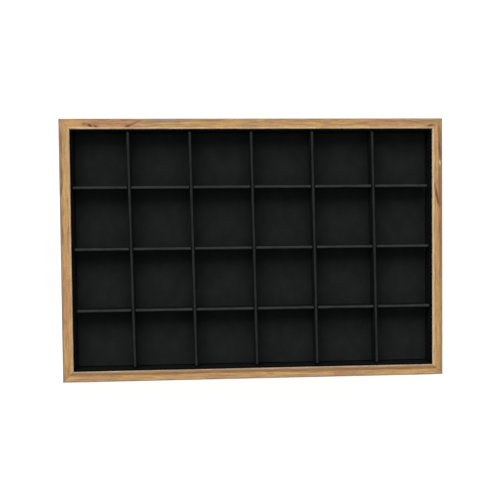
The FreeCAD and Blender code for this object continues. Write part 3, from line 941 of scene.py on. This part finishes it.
class TRAY_OT_add_cross_dividers(Operator):
    """Add the cloth of the dividers that run across the tray, which all lean a little"""

    bl_idname = "tray.add_cross_dividers"
    bl_label = "Add Cross Dividers"

    def execute(self, context):
        cloth = context.scene.tray_settings.cloth
        give(["cross_divider_board_%d" % (i + 1) for i in range(CROSS_COUNT)], card_material())
        # Painted shade on the divider's sides, and a painted highlight on its rims.
        material = cloth_material(
            "cross_divider_microfibre", cloth.shaded_wall_colour, cloth.cross_rim_highlight, long_high.z, cloth.rim * 0.45)
        slots = [ROW_PITCH * (i - (LONG_COUNT - 1) / 2) + SLOT_SHIFT for i in range(LONG_COUNT)]
        upright = Matrix.Rotation(math.pi / 2, 4, "X")
        turned = Matrix.Rotation(math.pi / 2 + LEAN, 4, "Z")
        for i, middle in enumerate(cross_middles):
            placing = Matrix.Translation((middle.x, middle.y, DIVIDER_LOW)) @ turned @ upright
            make_cover("cross", i + 1, CROSS_LENGTH, slots, placing, cloth, material)
        return {"FINISHED"}


class TRAY_OT_set_stage(Operator):
    """Add the floor, the light and the camera"""

    bl_idname = "tray.set_stage"
    bl_label = "Set Stage"

    def execute(self, context):
        studio = context.scene.tray_settings.studio
        self.add_floor(context, studio)
        self.light(context, studio)
        self.add_camera(context, studio)
        context.scene.view_settings.view_transform = "Standard"
        context.scene.view_settings.look = "None"
        return {"FINISHED"}

    def add_floor(self, context, studio):
        graph = Graph("studio_floor")
        point = graph.place()
        clouds = graph.noise(graph.stretched(point, 400, 400, 400), 2.0)
        paler = [part * 1.05 for part in studio.floor_colour]
        material = graph.finish({
            "Base Color": graph.mix(clouds, studio.floor_colour, paler),
            "Roughness": 0.8,
            "Specular IOR Level": 0.1,
            "Emission Color": (1.0, 1.0, 1.0, 1.0),
            "Emission Strength": studio.floor_glow,
        })
        mesh = bmesh.new()
        bmesh.ops.create_circle(mesh, cap_ends=True, segments=96, radius=4.0)
        data = bpy.data.meshes.new("studio_floor")
        mesh.to_mesh(data)
        mesh.free()
        data.materials.append(material)
        floor = bpy.data.objects.new("studio_floor", data)
        floor.location.z = cad_low.z - 0.05 * MM
        context.scene.collection.objects.link(floor)

    def light(self, context, studio):
        world = bpy.data.worlds.new("studio")
        world.use_nodes = True
        nodes = world.node_tree.nodes
        links = world.node_tree.links
        nodes.clear()
        surround = nodes.new("ShaderNodeBackground")
        surround.inputs["Strength"].default_value = studio.surround
        backdrop = nodes.new("ShaderNodeBackground")
        backdrop.inputs["Color"].default_value = (0.98, 0.98, 0.98, 1.0)
        seen = nodes.new("ShaderNodeLightPath")
        mixed = nodes.new("ShaderNodeMixShader")
        output = nodes.new("ShaderNodeOutputWorld")
        links.new(seen.outputs["Is Camera Ray"], mixed.inputs[0])
        links.new(surround.outputs[0], mixed.inputs[1])
        links.new(backdrop.outputs[0], mixed.inputs[2])
        links.new(mixed.outputs[0], output.inputs["Surface"])
        surround.inputs["Color"].default_value = (1.0, 1.0, 1.0, 1.0)
        context.scene.world = world

        data = bpy.data.lights.new("softbox", "AREA")
        data.shape = "RECTANGLE"
        data.size = studio.softbox_width
        data.size_y = studio.softbox_depth
        data.energy = studio.softbox_power
        softbox = bpy.data.objects.new("softbox", data)
        turned = Matrix.Rotation(studio.softbox_turn, 4, "Z")
        raised = Matrix.Rotation(studio.softbox_angle - math.pi / 2, 4, "X")
        away = Matrix.Translation((0, 0, studio.softbox_distance))
        softbox.matrix_world = turned @ raised @ away
        context.scene.collection.objects.link(softbox)

    def add_camera(self, context, studio):
        data = bpy.data.cameras.new("camera")
        data.sensor_width = 36.0
        data.lens = studio.camera_lens
        camera = bpy.data.objects.new("camera", data)
        place = Vector(studio.camera_place)
        looking = (Vector(studio.camera_aim) - place).normalized()
        right = looking.cross(Vector((0, 1, 0))).normalized()
        right = Matrix.Rotation(studio.camera_roll, 3, looking) @ right
        axes = Matrix((right, right.cross(looking), -looking)).transposed()
        camera.matrix_world = Matrix.Translation(place) @ axes.to_4x4()
        context.scene.collection.objects.link(camera)
        context.scene.camera = camera


class TRAY_PT_sidebar(Panel):
    """The tray's tools and settings in the sidebar"""

    bl_label = "Jewelry Display Tray"
    bl_space_type = "VIEW_3D"
    bl_region_type = "UI"
    bl_category = "Tray"

    def draw(self, context):
        for operator in OPERATORS:
            self.layout.operator(operator.bl_idname)
        settings = context.scene.tray_settings
        for group in (settings.wood, settings.cloth, settings.studio):
            box = self.layout.box()
            for name in group.bl_rna.properties.keys():
                if name not in ("rna_type", "name"):
                    box.prop(group, name)


OPERATORS = (
    TRAY_OT_finish_rails,
    TRAY_OT_finish_base,
    TRAY_OT_add_bottom_felt,
    TRAY_OT_add_floor_pad,
    TRAY_OT_add_wall_liners,
    TRAY_OT_add_long_dividers,
    TRAY_OT_add_cross_dividers,
    TRAY_OT_set_stage,
)
CLASSES = (WoodFinish, ClothFinish, Studio, TraySettings, *OPERATORS, TRAY_PT_sidebar)


def register():
    for item in CLASSES:
        bpy.utils.register_class(item)
    bpy.types.Scene.tray_settings = PointerProperty(type=TraySettings)


def unregister():
    del bpy.types.Scene.tray_settings
    for item in reversed(CLASSES):
        bpy.utils.unregister_class(item)


def main():
    register()
    bpy.ops.tray.finish_rails()
    bpy.ops.tray.finish_base()
    bpy.ops.tray.add_bottom_felt()
    bpy.ops.tray.add_floor_pad()
    bpy.ops.tray.add_wall_liners()
    bpy.ops.tray.add_long_dividers()
    bpy.ops.tray.add_cross_dividers()
    bpy.ops.tray.set_stage()


if __name__ == "__main__":
    main()
